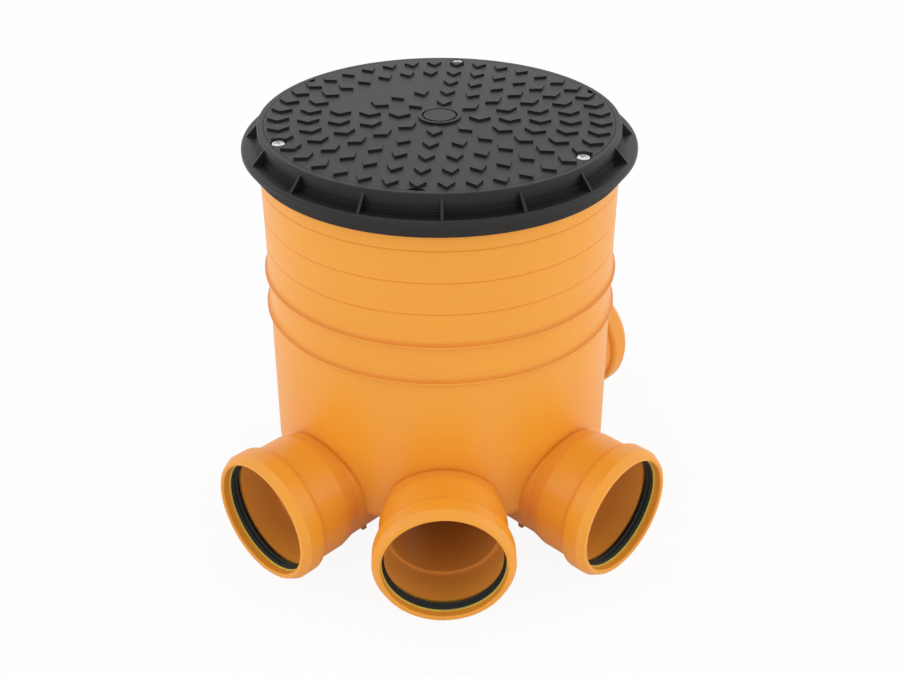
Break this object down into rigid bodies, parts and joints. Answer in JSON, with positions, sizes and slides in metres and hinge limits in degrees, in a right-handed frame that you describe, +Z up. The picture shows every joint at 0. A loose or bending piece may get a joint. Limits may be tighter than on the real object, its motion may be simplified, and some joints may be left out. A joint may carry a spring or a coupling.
{
  "type": "drain inspection chamber",
  "caption": "Round drain inspection chamber: orange body with radial pipe sockets at its foot, black flanged frame and screwed diamond-tread cover.",
  "frame": {"origin": "middle of the centre foot, where the chamber's axis meets the ground", "axes": "+Z up along the chamber's axis; the middle inlet's socket points to -Y, +X to its right seen from outside the mouth"},
  "size_m": [0.4242, 0.4521, 0.395],
  "materials": {
    "chamber_plastic": "satin moulded orange polypropylene",
    "frame_plastic": "fine-grained black moulded plastic",
    "cover_plastic": "fine-grained black moulded plastic with raised tread",
    "ring_plastic": "yellow-green moulded plastic",
    "seal_rubber": "dull black rubber",
    "screw_steel": "plain stainless steel",
    "insert_brass": "turned brass"
  },
  "bodies": {
    "root": {"chamber_body": "chamber_plastic", "cover_frame": "frame_plastic", "cover": "cover_plastic", "cover_gasket": "seal_rubber", "frame_seal": "seal_rubber", "socket_seal_1": "seal_rubber", "socket_seal_2": "seal_rubber", "socket_seal_3": "seal_rubber", "socket_seal_4": "seal_rubber", "seal_retaining_ring_1": "ring_plastic", "seal_retaining_ring_2": "ring_plastic", "seal_retaining_ring_3": "ring_plastic", "seal_retaining_ring_4": "ring_plastic", "cover_screw_1": "screw_steel", "cover_screw_2": "screw_steel", "cover_screw_3": "screw_steel", "screw_washer_1": "seal_rubber", "screw_washer_2": "seal_rubber", "screw_washer_3": "seal_rubber", "threaded_insert_1": "insert_brass", "threaded_insert_2": "insert_brass", "threaded_insert_3": "insert_brass"}
  },
  "joints": []
}
